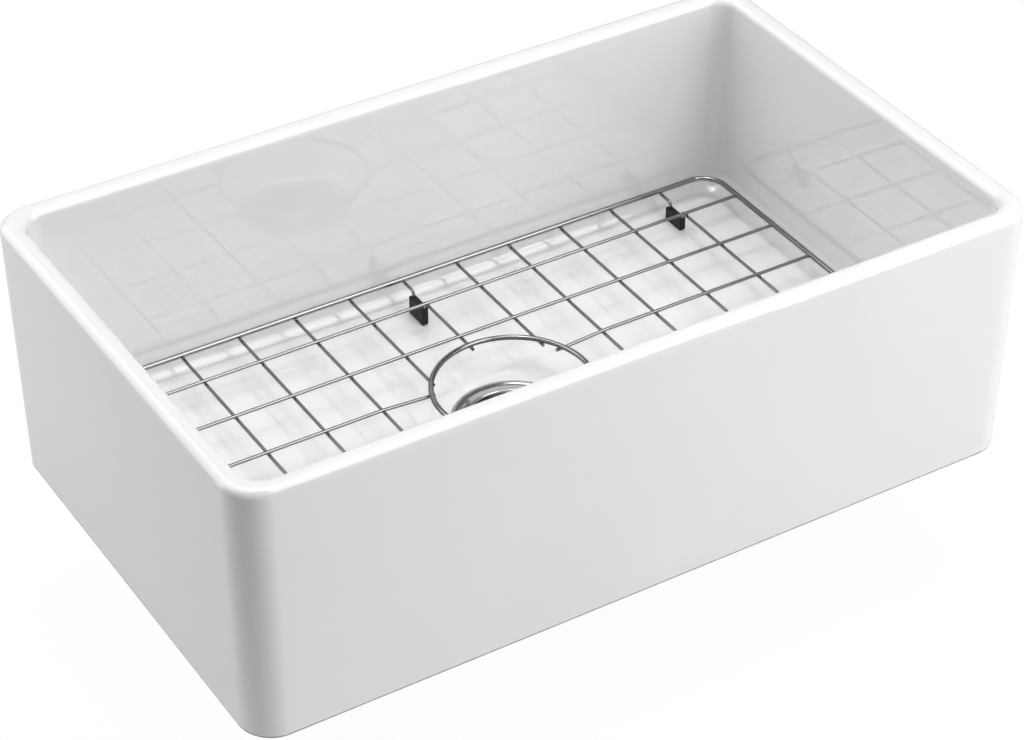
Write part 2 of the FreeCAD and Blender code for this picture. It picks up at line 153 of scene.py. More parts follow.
def bentPath(corners, bendRadius, bendSteps=8, stepLength=0.02):
    # straight runs joined by tangent arcs
    path = [corners[0]]
    for before, corner, after in zip(corners, corners[1:], corners[2:]):
        back = (before - corner).normalized()
        ahead = (after - corner).normalized()
        halfTurn = (math.pi - back.angle(ahead)) / 2
        centre = corner + (back + ahead).normalized() * (bendRadius / math.cos(halfTurn))
        start = corner + back * bendRadius * math.tan(halfTurn) - centre
        end = corner + ahead * bendRadius * math.tan(halfTurn) - centre
        turn = start.angle(end)
        onward = (end - start * math.cos(turn)) / math.sin(turn)
        path += [centre + start * math.cos(a) + onward * math.sin(a) for a in spread(0, turn, bendSteps)]
    path.append(corners[-1])
    divided = [path[0]]
    for a, b in zip(path, path[1:]):
        cuts = max(1, int((b - a).length / stepLength))
        divided += [a.lerp(b, t) for t in spread(0, 1, cuts)[1:]]
    return divided


cutEnd = dict(steps=((0.86, 0.09), (0.55, 0.16)), tip=0.18)  # share of the radius and push along the wire


def wireMesh(path, radius, sides, closed=False):
    # a round wire along a path, its cut ends slightly crowned
    count = len(path)
    tangents = []
    for i in range(count):
        before = path[i - 1] if (i > 0 or closed) else path[0]
        after = path[(i + 1) % count] if (i < count - 1 or closed) else path[-1]
        tangents.append((after - before).normalized())
    side = tangents[0].cross(Vector((0, 0, 1))).normalized()
    loops = []
    for point, tangent in zip(path, tangents):
        side = (side - tangent * side.dot(tangent)).normalized()
        up = tangent.cross(side)
        loops.append([point + (side * math.cos(a) + up * math.sin(a)) * radius
                      for a in spread(0, 2 * math.pi, sides)[:-1]])
    if closed:
        return skinLoops(loops, closed=True)
    head, tail = loops[0], loops[-1]
    for share, push in cutEnd["steps"]:
        loops.insert(0, [path[0] - tangents[0] * radius * push + (p - path[0]) * share for p in head])
        loops.append([path[-1] + tangents[-1] * radius * push + (p - path[-1]) * share for p in tail])
    points, faces = skinLoops(loops)
    tip = radius * cutEnd["tip"]
    capLoop(points, faces, 0, sides, path[0] - tangents[0] * tip)
    capLoop(points, faces, (len(loops) - 1) * sides, sides, path[-1] + tangents[-1] * tip)
    return points, faces


def beadMesh(centre, sizes, rows=6, sides=12):
    # a squashed drop of weld metal
    loops = []
    for tilt in spread(-1.3, 1.3, rows):
        loops.append([centre + Vector((sizes[0] * math.cos(tilt) * math.cos(a),
                                       sizes[1] * math.cos(tilt) * math.sin(a),
                                       sizes[2] * math.sin(tilt)))
                      for a in spread(0, 2 * math.pi, sides)[:-1]])
    points, faces = skinLoops(loops)
    capLoop(points, faces, 0, sides, centre - Vector((0, 0, sizes[2])))
    capLoop(points, faces, rows * sides, sides, centre + Vector((0, 0, sizes[2])))
    return points, faces


# Finish helpers

def newFinish(name):
    finish = bpy.data.materials.new(name)
    finish.use_nodes = True
    return finish, finish.node_tree, finish.node_tree.nodes["Principled BSDF"]


def addNode(tree, kind, **settings):
    node = tree.nodes.new(kind)
    for key, value in settings.items():
        if key in node.inputs:
            node.inputs[key].default_value = value
        else:
            setattr(node, key, value)
    return node


def objectPlace(tree, stretch=(1, 1, 1)):
    # object coordinates, which are metres in the frame
    place = addNode(tree, "ShaderNodeTexCoord")
    mapping = addNode(tree, "ShaderNodeMapping", Scale=stretch)
    tree.links.new(place.outputs["Object"], mapping.inputs["Vector"])
    return mapping.outputs["Vector"]


def noiseAt(tree, place, scale, detail=3.0, roughness=0.5):
    texture = addNode(tree, "ShaderNodeTexNoise", Scale=scale, Detail=detail, Roughness=roughness)
    tree.links.new(place, texture.inputs["Vector"])
    return texture.outputs["Fac"]


def ramp(tree, source, stops):
    # stops are (position, grey or colour)
    node = addNode(tree, "ShaderNodeValToRGB")
    while len(node.color_ramp.elements) < len(stops):
        node.color_ramp.elements.new(0.5)
    for element, (position, value) in zip(node.color_ramp.elements, stops):
        element.position = position
        element.color = (*value, 1) if isinstance(value, tuple) else (value, value, value, 1)
    tree.links.new(source, node.inputs["Fac"])
    return node.outputs["Color"]


def rescale(tree, source, low, high):
    node = addNode(tree, "ShaderNodeMapRange")
    node.inputs["To Min"].default_value = low
    node.inputs["To Max"].default_value = high
    tree.links.new(source, node.inputs["Value"])
    return node.outputs["Result"]


def addBump(tree, shader, height, strength, distance, after=None):
    bump = addNode(tree, "ShaderNodeBump", Strength=strength, Distance=distance)
    tree.links.new(height, bump.inputs["Height"])
    if after:
        tree.links.new(after.outputs["Normal"], bump.inputs["Normal"])
    tree.links.new(bump.outputs["Normal"], shader.inputs["Normal"])
    return bump


# Finishes

glaze = dict(
    light=(0.898, 0.900, 0.902),
    shade=(0.880, 0.882, 0.884),
    # bare clay colour, darkened to neutral grey so that the bare band at the base also serves as painted
    # contact shadow
    bareClayWithPaintedShade=(0.40, 0.39, 0.375),
    roughness=0.02,
    bareShadedBandTop=0.0022,   # unglazed up to about this level on the base; this band is also a painted contact shadow
    raggedness=0.0008,
    mirrorIndex=1.7,
    cloudScale=7.0, glossScale=24.0, rippleScale=9.0, grainScale=420.0, clayScale=900.0, edgeScale=160.0,
)


def glazeFinish():
    finish, tree, shader = newFinish("whiteGlaze")
    place = objectPlace(tree)
    clouds = noiseAt(tree, place, glaze["cloudScale"], detail=2.0)
    glazeColour = ramp(tree, clouds, [(0.35, glaze["shade"]), (0.65, glaze["light"])])
    # the base that stands on the shelf is bare fired clay, with a ragged edge of glaze; the bare band is
    # darkened and raised so that it also serves as a painted contact shadow along the base edge
    height = addNode(tree, "ShaderNodeSeparateXYZ")
    tree.links.new(place, height.inputs["Vector"])
    ragged = addNode(tree, "ShaderNodeMath", operation="MULTIPLY_ADD")
    tree.links.new(noiseAt(tree, place, glaze["edgeScale"]), ragged.inputs[0])
    ragged.inputs[1].default_value = glaze["raggedness"]
    tree.links.new(height.outputs["Z"], ragged.inputs[2])
    # mask of the bare band, which also carries the painted contact shadow along the base edge
    bareShadedBand = addNode(tree, "ShaderNodeMath", operation="LESS_THAN")
    tree.links.new(ragged.outputs["Value"], bareShadedBand.inputs[0])
    bareShadedBand.inputs[1].default_value = glaze["bareShadedBandTop"] + glaze["raggedness"] / 2
    speckle = noiseAt(tree, place, glaze["clayScale"], detail=4.0)
    shadedClayColour = ramp(tree, speckle, [(0.3, tuple(c * 0.86 for c in glaze["bareClayWithPaintedShade"])), (0.7, glaze["bareClayWithPaintedShade"])])
    colour = addNode(tree, "ShaderNodeMix", data_type="RGBA")
    tree.links.new(bareShadedBand.outputs["Value"], colour.inputs["Factor"])
    tree.links.new(glazeColour, colour.inputs["A"])
    tree.links.new(shadedClayColour, colour.inputs["B"])
    tree.links.new(colour.outputs["Result"], shader.inputs["Base Color"])
    gloss = rescale(tree, noiseAt(tree, place, glaze["glossScale"]),
                    glaze["roughness"] * 0.8, glaze["roughness"] * 1.25)
    dull = addNode(tree, "ShaderNodeMix", data_type="FLOAT", B=0.75)
    tree.links.new(bareShadedBand.outputs["Value"], dull.inputs["Factor"])
    tree.links.new(gloss, dull.inputs["A"])
    tree.links.new(dull.outputs["Result"], shader.inputs["Roughness"])
    ripple = addBump(tree, shader, noiseAt(tree, place, glaze["rippleScale"], detail=1.0), 0.08, 0.0006)
    pores = noiseAt(tree, place, glaze["grainScale"], detail=2.0)
    addBump(tree, shader, pores, 0.02, 0.00008, after=ripple)
    shader.inputs["IOR"].default_value = glaze["mirrorIndex"]
    return finish


def steelFinish(name, colour, roughness, grainStretch, grainScale, bumpStrength=0.12, rimTint=1.0):
    # brushed or spun stainless steel: the grain is noise drawn out along one direction;
    # a low rim tint darkens what the metal mirrors at a glancing angle
    finish, tree, shader = newFinish(name)
    place = objectPlace(tree, grainStretch)
    grain = noiseAt(tree, place, grainScale, detail=6.0, roughness=0.65)
    wear = noiseAt(tree, objectPlace(tree), 45.0)
    dark = tuple(c * 0.86 for c in colour)
    light = tuple(c * 1.08 for c in colour)
    tint = ramp(tree, grain, [(0.3, dark), (0.7, light)])
    tree.links.new(tint, shader.inputs["Base Color"])
    tree.links.new(rescale(tree, wear, roughness * 0.8, roughness * 1.25), shader.inputs["Roughness"])
    addBump(tree, shader, grain, bumpStrength, 0.00006)
    shader.inputs["Metallic"].default_value = 1.0
    shader.inputs["Specular Tint"].default_value = (rimTint, rimTint, rimTint, 1)
    return finish


def rubberFinish(name, colour, roughness):
    finish, tree, shader = newFinish(name)
    place = objectPlace(tree)
    bloom = ramp(tree, noiseAt(tree, place, 70.0), [(0.3, colour), (0.75, tuple(c * 1.5 for c in colour))])
    tree.links.new(bloom, shader.inputs["Base Color"])
    tree.links.new(rescale(tree, noiseAt(tree, place, 240.0), roughness - 0.08, roughness + 0.1),
                   shader.inputs["Roughness"])
    addBump(tree, shader, noiseAt(tree, place, 1500.0, detail=4.0), 0.25, 0.0001)
    shader.inputs["Specular IOR Level"].default_value = 0.25
    return finish


def pastyFinish(name, dark, light, scale, roughness, bumpStrength):
    # putty and pressed fibre
    finish, tree, shader = newFinish(name)
    place = objectPlace(tree)
    grain = noiseAt(tree, place, scale, detail=8.0, roughness=0.7)
    tree.links.new(ramp(tree, grain, [(0.3, dark), (0.7, light)]), shader.inputs["Base Color"])
    tree.links.new(rescale(tree, grain, roughness - 0.1, roughness + 0.1), shader.inputs["Roughness"])
    addBump(tree, shader, grain, bumpStrength, 0.0003)
    return finish


whiteGlaze = glazeFinish()
spunSteel = steelFinish("spunSteel", (0.52, 0.52, 0.52), 0.13, (1, 1, 30), 60.0, bumpStrength=0.04)
basketSteel = steelFinish("basketSteel", (0.44, 0.44, 0.44), 0.22, (1, 1, 20), 80.0)
gridSteel = steelFinish("gridSteel", (0.30, 0.30, 0.30), 0.09, (1, 1, 1), 700.0, bumpStrength=0.03,
                        rimTint=0.12)
chromePlate = steelFinish("chromePlate", (0.78, 0.78, 0.79), 0.07, (1, 1, 6), 90.0, bumpStrength=0.03)
castMetal = steelFinish("castMetal", (0.56, 0.56, 0.57), 0.46, (1, 1, 1), 800.0, bumpStrength=0.5)
footRubber = rubberFinish("footRubber", (0.008, 0.008, 0.008), 0.45)
sealRubber = rubberFinish("sealRubber", (0.030, 0.030, 0.031), 0.55)
puttyPaste = pastyFinish("puttyPaste", (0.62, 0.59, 0.53), (0.74, 0.71, 0.66), 300.0, 0.7, 0.3)
pressedFibre = pastyFinish("pressedFibre", (0.40, 0.30, 0.21), (0.56, 0.45, 0.33), 900.0, 0.8, 0.5)
print("finishes made")


# Basin

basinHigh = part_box("basin")[1] / mm
basinSizes = dict(
    cornerRadius=31.0, endLean=3.8, sideLean=2.7, rimEdge=9.0, baseEdge=1.5,
    rimFlat=2.0, bowlShift=1.0, lipEdge=8.5, innerCorner=20.0, innerLean=3.0,
    floorLevel=38.2, floorSlope=0.032, floorFillet=17.0,
    dishRadius=150.0, dishDrop=6.0, dishEdge=0.9,
    recessRadius=56.2, seatLevel=29.2, holeRadius=45.0,
    nutRecessRadius=75.0, nutRecessTop=10.0,
    waviness=0.12, waveScale=14.0,
)
cornerSteps, endSteps, sideSteps = 16, 12, 20  # points along a corner, half an end and half a side


def rectangleLoop(halfLength, halfWidth, radius, level):
    straightX = halfLength - radius
    straightY = halfWidth - radius
    quarter = [(halfLength, straightY * k / endSteps) for k in range(endSteps)]
    quarter += [(straightX + radius * math.cos(a), straightY + radius * math.sin(a))
                for a in spread(0, math.pi / 2, cornerSteps)[:-1]]
    quarter += [(straightX * (1 - k / sideSteps), halfWidth) for k in range(sideSteps + 1)]
    around = quarter[:-1] + [(-x, y) for x, y in quarter[:0:-1]]
    around += [(-x, -y) for x, y in quarter[:-1]] + [(x, -y) for x, y in quarter[:0:-1]]
    return [Vector((x, y, level)) for x, y in around]


def roundLoop(radius, level):
    count = 4 * (cornerSteps + endSteps + sideSteps)
    return [Vector((radius * math.cos(a), radius * math.sin(a), level))
            for a in spread(0, 2 * math.pi, count)[:-1]]


def betweenLoops(first, last, count):
    return [[a.lerp(b, t) for a, b in zip(first, last)] for t in spread(0, 1, count)[1:-1]]


def basinMesh():
    s = basinSizes
    halfLength, halfWidth, height = basinHigh

    def outerLoop(level, inset):
        lean = 1 - level / height
        return rectangleLoop(halfLength - s["endLean"] * lean - inset,
                             halfWidth - s["sideLean"] * lean - inset, s["cornerRadius"] - inset, level)

    def innerLoop(level, outset):
        lean = s["innerLean"] * (height - level) / (height - s["floorLevel"])
        inset = s["rimEdge"] + s["rimFlat"] + s["lipEdge"] + lean - outset
        loop = rectangleLoop(halfLength - inset, halfWidth - inset, s["innerCorner"] + outset, level)
        return [point - Vector((0, s["bowlShift"], 0)) for point in loop]  # nearer the front

    quarterTurn = math.pi / 2
    loops = []
    # base edge, outer wall and the rim's outer edge
    baseEdge = s["baseEdge"]
    for a in spread(0, quarterTurn, 5):
        loops.append(outerLoop(baseEdge * (1 - math.cos(a)), baseEdge * (1 - math.sin(a))))
    for level in spread(baseEdge, height - s["rimEdge"], 12)[1:-1]:
        loops.append(outerLoop(level, 0))
    for a in spread(0, quarterTurn, 10):
        loops.append(outerLoop(height - s["rimEdge"] * (1 - math.sin(a)), s["rimEdge"] * (1 - math.cos(a))))
    # flat of the rim, its inner edge and the bowl's wall
    lipStart = innerLoop(height, s["lipEdge"])
    loops += betweenLoops(loops[-1], lipStart, 3)
    for a in spread(0, quarterTurn, 10):
        loops.append(innerLoop(height - s["lipEdge"] * (1 - math.cos(a)), s["lipEdge"] * (1 - math.sin(a))))

    def floorHeight(point):
        # the floor rises away from the drain
        return s["floorLevel"] + s["floorSlope"] * (math.hypot(point.x, point.y) - s["dishRadius"])

    filletLoops = []
    for a in spread(0, quarterTurn, 14):
        loop = innerLoop(s["floorLevel"] + s["floorFillet"] * (1 - math.sin(a)),
                         s["floorFillet"] * (math.cos(a) - 1))
        for point in loop:
            point.z = floorHeight(point) + s["floorFillet"] * (1 - math.sin(a))
        filletLoops.append(loop)
    loops += betweenLoops(loops[-1], filletLoops[0], 10) + filletLoops
    # floor, and the dish that dips to the drain
    run = s["dishRadius"] - s["recessRadius"]
    dishCurve = (run * run + s["dishDrop"] ** 2) / (2 * s["dishDrop"])

    def dishLevel(radius):
        return s["floorLevel"] - dishCurve + math.sqrt(dishCurve ** 2 - (s["dishRadius"] - radius) ** 2)

    dishStart = roundLoop(s["dishRadius"], s["floorLevel"])
    for loop in betweenLoops(loops[-1], dishStart, 9):
        for point in loop:
            point.z = floorHeight(point)
        loops.append(loop)
    for radius in spread(s["dishRadius"], s["recessRadius"] + s["dishEdge"], 16):
        loops.append(roundLoop(radius, dishLevel(radius)))
    edge = s["dishEdge"]
    edgeTop = dishLevel(s["recessRadius"] + edge)
    for a in spread(0, quarterTurn, 5)[1:]:
        loops.append(roundLoop(s["recessRadius"] + edge * (1 - math.sin(a)),
                               edgeTop - edge * (1 - math.cos(a))))
    # recess for the strainer's flange, the hole, and the recess for its nut under the base
    seat, hole, nut, nutTop = s["seatLevel"], s["holeRadius"], s["nutRecessRadius"], s["nutRecessTop"]
    for radius, level in ((s["recessRadius"], seat + 0.8), (s["recessRadius"] - 0.25, seat + 0.25),
                          (s["recessRadius"] - 0.8, seat), (hole + 6, seat), (hole + 1, seat),
                          (hole + 0.3, seat - 0.3), (hole, seat - 1), (hole, (seat + nutTop) / 2),
                          (hole, nutTop + 1), (hole + 0.3, nutTop + 0.3), (hole + 1, nutTop),
                          (nut - 8, nutTop), (nut - 1.5, nutTop), (nut - 0.4, nutTop - 0.4),
                          (nut, nutTop - 1.5), (nut, 1), (nut + 0.3, 0.3), (nut + 1, 0)):
        loops.append(roundLoop(radius, level))
    loops += betweenLoops(loops[-1], loops[0], 8)
    return skinLoops([[p * mm for p in loop] for loop in loops], closed=True)


def glazeWaves(piece, amount, scale):
    # fired clay is never quite flat: each point sinks by up to this much
    shell = bmesh.new()
    shell.from_mesh(piece.data)
    for point in shell.verts:
        sink = 0.5 + 0.5 * noise.noise(point.co * scale)
        point.co -= point.normal * amount * max(0.0, min(1.0, sink))
    shell.to_mesh(piece.data)
    shell.free()


basin = newPiece("glazedBasin", basinMesh(), whiteGlaze, "sink", ["basin"])
glazeWaves(basin, basinSizes["waviness"] * mm, basinSizes["waveScale"])
print("basin made:", len(basin.data.polygons), "faces")


# Strainer

strainerSizes = dict(
    flange=55.8, flangeUnder=30.2, flangeTop=31.1, lipTop=32.1, lipOuter=54.8, lipInner=53.6, lipFoot=50.8,
    throat=42.6, throatTop=29.0, throatEdge=43.8, ledge=19.2, lowerBore=40.6,
    barrelEnd=-10.3, funnelEnd=-26.3, neck=23.5, neckBore=20.5, neckEnd=-44.3,
    barrelPitch=2.3, barrelThread=0.7, neckPitch=1.8, neckThread=0.6,
)


def threadShape(low, high, pitch, depth):
    # a V thread that fades out at both ends
    def reshape(angle, radius, level):
        fade = min(1.0, max(0.0, min(level - low, high - level) / pitch))
        turn = (level / pitch - angle / (2 * math.pi)) % 1.0
        return radius - depth * fade * abs(2 * turn - 1)
    return reshape


def strainerBodyMesh():
    s = strainerSizes
    barrel = s["throatEdge"]
    corners = [
        (s["throat"], s["ledge"], 0.3), (s["throat"], s["throatTop"], 1.2),
        (barrel, s["flangeUnder"] + 0.6, 0.8), (s["lipFoot"], s["flangeTop"], 1.5),
        (s["lipInner"], s["lipTop"], 0.5), (s["lipOuter"], s["lipTop"], 0.5),
        (s["flange"], s["flangeTop"] - 0.1, 0.3), (s["flange"], s["flangeUnder"], 0.2),
        (barrel, s["flangeUnder"], 0.8),
    ]
    outline = softOutline(corners, 0.5)
    threadTop = s["flangeUnder"] - 1.5
    outline += [(barrel, level) for level in spread(threadTop, s["barrelEnd"] + 1.0, 130)]
    outline += softOutline([
        (barrel, s["barrelEnd"], 1.5), (s["neck"], s["funnelEnd"] + 0.3, 1.5),
        (s["neck"], s["funnelEnd"], 0.1), (s["neckBore"], s["funnelEnd"], 0.1),
        (s["lowerBore"], s["barrelEnd"], 1.5), (s["lowerBore"], s["ledge"], 0.3),
    ], 0.5)[3:]
    reshape = threadShape(s["barrelEnd"] + 2, threadTop, s["barrelPitch"], s["barrelThread"])

    def onBarrel(angle, radius, level):
        return reshape(angle, radius, level) if abs(radius - barrel) < 1e-6 else radius
    return turnedMesh(outline, 160, onBarrel)


newPiece("strainerBody", strainerBodyMesh(), spunSteel, "sink", ["strainer_body"])


def strainerNeckMesh():
    s = strainerSizes
    outline = softOutline([
        (s["neckBore"], s["funnelEnd"] - 0.05, 0.2), (s["neck"], s["funnelEnd"] - 0.05, 0.2),
        (s["neck"], s["funnelEnd"] - 1.0, 0.1)], 0.3, steps=2)
    outline += [(s["neck"], level) for level in spread(s["funnelEnd"] - 1.2, s["neckEnd"] + 0.6, 60)]
    outline += [(radius, s["neckEnd"] + 0.05) for radius in (s["neck"] - 0.4, s["neckBore"] + 0.4)]
    outline += [(s["neckBore"], level) for level in spread(s["neckEnd"] + 0.6, s["funnelEnd"] - 1.0, 6)]
    reshape = threadShape(s["neckEnd"] + 0.5, s["funnelEnd"] - 1.5, s["neckPitch"], s["neckThread"])

    def onNeck(angle, radius, level):
        return reshape(angle, radius, level) if radius > s["neck"] - 0.01 else radius
    return turnedMesh(outline, 128, onNeck)


spiderSizes = dict(arms=4, armWidth=3.0, top=-26.35, under=-28.8, hub=9.0, hole=6.4, reach=20.7,
                   hubSteps=16, softness=0.35)


def spiderMesh():
    # outline of hub and arms seen from above, given thickness with softened edges
    s = spiderSizes
    half = s["armWidth"] / 2
    armAngle = math.asin(half / s["hub"])
    outer = []
    for arm in range(s["arms"]):
        middle = 2 * math.pi * arm / s["arms"]
        along = Vector((math.cos(middle), math.sin(middle), 0))
        across = Vector((-math.sin(middle), math.cos(middle), 0))
        out = (s["hub"], s["hub"] + 1, s["reach"] - 1, s["reach"])
        outer += [along * distance - across * half for distance in out]
        outer += [along * distance + across * half for distance in reversed(out)]
        nextArm = middle + 2 * math.pi / s["arms"]
        for a in spread(middle + armAngle, nextArm - armAngle, s["hubSteps"])[1:-1]:
            outer.append(Vector((s["hub"] * math.cos(a), s["hub"] * math.sin(a), 0)))
    inner = []
    for p in outer:
        angle = math.atan2(p.y, p.x)
        inner.append(Vector((s["hole"] * math.cos(angle), s["hole"] * math.sin(angle), 0)))
    soft = s["softness"]
    down = ((soft, s["top"]), (0, s["top"] - soft), (0, s["under"] + soft), (soft, s["under"]))
    loops = []
    for shrink, level in down:
        loops.append([p - p.normalized() * shrink * 0.5 + Vector((0, 0, level)) for p in outer])
    for grow, level in reversed(down):
        loops.append([p + p.normalized() * grow * 0.5 + Vector((0, 0, level)) for p in inner])
    return skinLoops([[p * mm for p in loop] for loop in loops], closed=True)


newPiece("strainerNeck", joinMeshes([strainerNeckMesh(), spiderMesh()]), spunSteel, "sink",
         ["strainer_neck"])


# Seals and nuts under the basin

sealSizes = dict(
    puttyRing=dict(outer=54.8, inner=46.8, low=29.2, high=30.2, softness=0.45),
    underGasket=dict(outer=62.0, inner=43.9, low=7.0, high=10.0, softness=0.9),
    frictionRing=dict(outer=60.0, inner=43.9, low=6.0, high=7.0, softness=0.2),
    tailpieceWasher=dict(outer=23.5, inner=17.9, low=-46.2, high=-44.3, softness=0.5),
)


def flatRing(outer, inner, low, high, softness):
    return turnedMesh(softOutline([(inner, low), (outer, low), (outer, high), (inner, high)], softness))


for name, finish, slotName, node in (("puttyRing", puttyPaste, "putty", "putty_ring"),
                                     ("underGasket", sealRubber, "black_seal", "under_gasket"),
                                     ("frictionRing", pressedFibre, "fibre", "friction_ring"),
                                     ("tailpieceWasher", sealRubber, "black_seal", "tailpiece_washer")):
    newPiece(name, flatRing(**sealSizes[name]), finish, "sink", [node])

lockNutSizes = dict(outer=55.0, bore=43.9, low=-5.0, high=6.0, lugs=8, lugReach=4.0, lugHalfAngle=0.088,
                    lugShoulder=0.02, lugFade=0.03, lugTop=2.7, softness=1.2)


def lockNutMesh():
    s = lockNutSizes
    lugOuter = s["outer"] + s["lugReach"]
    outline = softOutline([
        (s["bore"], s["low"], 0.6), (lugOuter, s["low"]), (lugOuter, s["lugTop"]),
        (s["outer"], s["lugTop"] + 0.4, 0.8), (s["outer"], s["high"]),
        (s["bore"], s["high"], 0.6)], s["softness"])

    def lugShape(angle, radius, level):
        if radius <= s["outer"]:
            return radius
        turn = 2 * math.pi / s["lugs"]
        off = abs((angle + turn / 2) % turn - turn / 2)
        share = max(0.0, min(1.0, (s["lugHalfAngle"] + s["lugShoulder"] - off) / s["lugFade"]))
        return s["outer"] + (radius - s["outer"]) * max(0.01, share * share * (3 - 2 * share))
    return turnedMesh(outline, 384, lugShape)


newPiece("lockNut", lockNutMesh(), castMetal, "sink", ["lock_nut"])

couplingSizes = dict(outer=28.5, thread=23.6, passage=20.0, low=-50.5, lip=-47.9, high=-35.5, ribs=12,
                     rib=1.8, softness=1.0)


def couplingNutMesh():
    s = couplingSizes
    outline = softOutline([
        (s["passage"], s["low"], 0.5), (s["outer"], s["low"]), (s["outer"], s["low"] + 3.0, 0.1),
        (s["outer"], s["high"] - 3.0, 0.1), (s["outer"], s["high"]), (s["thread"], s["high"], 0.5),
        (s["thread"], s["lip"], 0.3), (s["passage"], s["lip"], 0.3)], s["softness"])

    def ribShape(angle, radius, level):
        if radius < s["outer"] - 0.01:
            return radius
        turn = 2 * math.pi / s["ribs"]
        off = abs((angle + turn / 2) % turn - turn / 2) * s["outer"]
        return radius + math.sqrt(max(0.0, s["rib"] ** 2 - off * off))
    return turnedMesh(outline, 288, ribShape)


newPiece("couplingNut", couplingNutMesh(), chromePlate, "sink", ["coupling_nut"])

tailpieceSizes = dict(outer=19.05, inner=17.9, flange=23.5, top=-46.2, flangeUnder=-47.7, bend=0.8,
                      end=-148.2)


def tailpieceMesh():
    s = tailpieceSizes
    outer, inner, under = s["outer"], s["inner"], s["flangeUnder"]
    outline = softOutline([
        (inner, s["top"], 0.5), (s["flange"], s["top"], 0.5), (s["flange"], under, 0.5),
        (outer + s["bend"], under, 0.4), (outer, under - s["bend"], 0.4), (outer, -70.0, 0.1),
        (outer, -95.0, 0.1), (outer, -120.0, 0.1), (outer, -140.0, 0.1), (outer, s["end"], 0.4),
        (inner, s["end"], 0.4), (inner, -120.0, 0.1), (inner, -80.0, 0.1)], 0.5)
    return turnedMesh(outline, 128)


newPiece("tailpiece", tailpieceMesh(), chromePlate, "sink", ["tailpiece"])
print("drain fittings made")


# Basket

basketSizes = dict(
    postEnd=-32.8, headTop=-31.6, head=5.2, post=3.2, stopperTop=-11.8, collar=6.5, collarTop=-6.8,
    journal=4.3, journalTop=-5.4, knobLow=-5.4, knobTop=12.6, knobBase=7.0, knobBaseTop=-3.4,
    knobNeck=4.8, knobCap=6.0, knob=9.0, postTop=3.4,
    stopperLow=-16.3, stopperEdge=32.6, stopperDome=12.0, stopperBore=3.26,
    clip=5.9, clipLow=-31.6, clipHigh=-29.0,
)


def basketPostMesh():
    s = basketSizes
    corners = [
        (0, s["postEnd"]), (s["head"], s["postEnd"]), (s["head"], s["headTop"]), (s["post"], s["headTop"]),
        (s["post"], s["stopperTop"]), (s["collar"], s["stopperTop"]), (s["collar"], s["collarTop"]),
        (s["journal"], s["collarTop"]), (s["journal"], s["journalTop"]), (s["post"], s["journalTop"]),
        (s["post"], s["postTop"]), (0, s["postTop"])]
    return solidTurnedMesh([corners[0]] + softOutline(corners, 0.3)[5:-5] + [corners[-1]], 64)


def basketKnobMesh():
    # a mushroom with a soft hollow on top
    s = basketSizes
    capLow = s["knobTop"] - s["knobCap"]
    outline = [(0, s["knobLow"])]
    outline += softOutline([
        (0, s["knobLow"]), (s["knobBase"], s["knobLow"], 0.4), (s["knobBase"], s["knobBaseTop"], 0.9),
        (s["knobNeck"], s["knobBaseTop"], 1.6), (s["knobNeck"], capLow, 1.6), (s["knob"], capLow, 1.0),
        (s["knob"], s["knobTop"], 2.4), (0, s["knobTop"])], 0.5, 6)[7:-7]
    outline += [(4.5, s["knobTop"] - 0.05), (2.5, s["knobTop"] - 0.2), (0, s["knobTop"] - 0.3)]
    return solidTurnedMesh(outline, 72)


def basketStopperMesh():
    s = basketSizes
    low, high, bore = s["stopperLow"], s["stopperTop"], s["stopperBore"]
    middle = (low + high) / 2
    edge = s["stopperEdge"]
    outline = softOutline([
        (bore, low, 0.4), (edge - 1.0, low, 0.8), (edge + 1.6, middle, 0.9),
        (edge - 1.5, middle + 0.5, 0.9), (s["stopperDome"], high - 0.6, 3.0), (s["collar"], high, 0.5),
        (bore, high, 0.3)], 0.5)
    return turnedMesh(outline, 128)


def basketClipMesh():
    s = basketSizes
    middle = (s["clipLow"] + s["clipHigh"]) / 2
    outline = softOutline([
        (s["stopperBore"], s["clipLow"]), (s["clip"] - 1, s["clipLow"]), (s["clip"], middle),
        (s["clip"] - 1, s["clipHigh"]), (s["stopperBore"], s["clipHigh"])], 0.4)
    return turnedMesh(outline, 64)


newPiece("basketPost", basketPostMesh(), basketSteel, "basket", ["basket_post"])
newPiece("basketKnob", basketKnobMesh(), basketSteel, "basket", ["basket_knob"])
newPiece("basketStopper", basketStopperMesh(), sealRubber, "basket", ["basket_stopper"])
newPiece("basketClip", basketClipMesh(), basketSteel, "basket", ["basket_clip"])
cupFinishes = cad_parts["basket_cup"].data.materials  # the cup's own solid has every hole already
cupFinishes.clear()
cupFinishes.append(basketSteel)
print("basket made")


# Bottom grid

gridSizes = dict(
    frameCorner=24.0, stub=3.5, rampLength=44.0, rampBend=12.0,
    dipDepth=12.0, dipOuter=9.0, dipInner=10.7, dipBend=3.5, wireSides=24,
)
gridWeld = dict(  # half sizes of each bead; inward and sunk shift the ones on the frame
    crossing=(1.75, 1.8, 0.75), frame=(1.9, 2.3, 0.8), butt=(0.9, 2.2, 2.0),
    inward=0.6, sunk=0.8,
)
quarters = ((1, 1, 0), (-1, 1, 90), (-1, -1, 180), (1, -1, 270))  # sides in X and Y, the arc's first degree


def wireBox(node):
    low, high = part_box(node)
    middle = (low + high) / 2
    return low, high, middle


def addWire(node, path, radius, closed=False):
    mesh = wireMesh(path, radius, gridSizes["wireSides"], closed)
    newPiece(node.replace("_", "-"), mesh, gridSteel, "grid", [node], sharpAngle=60)


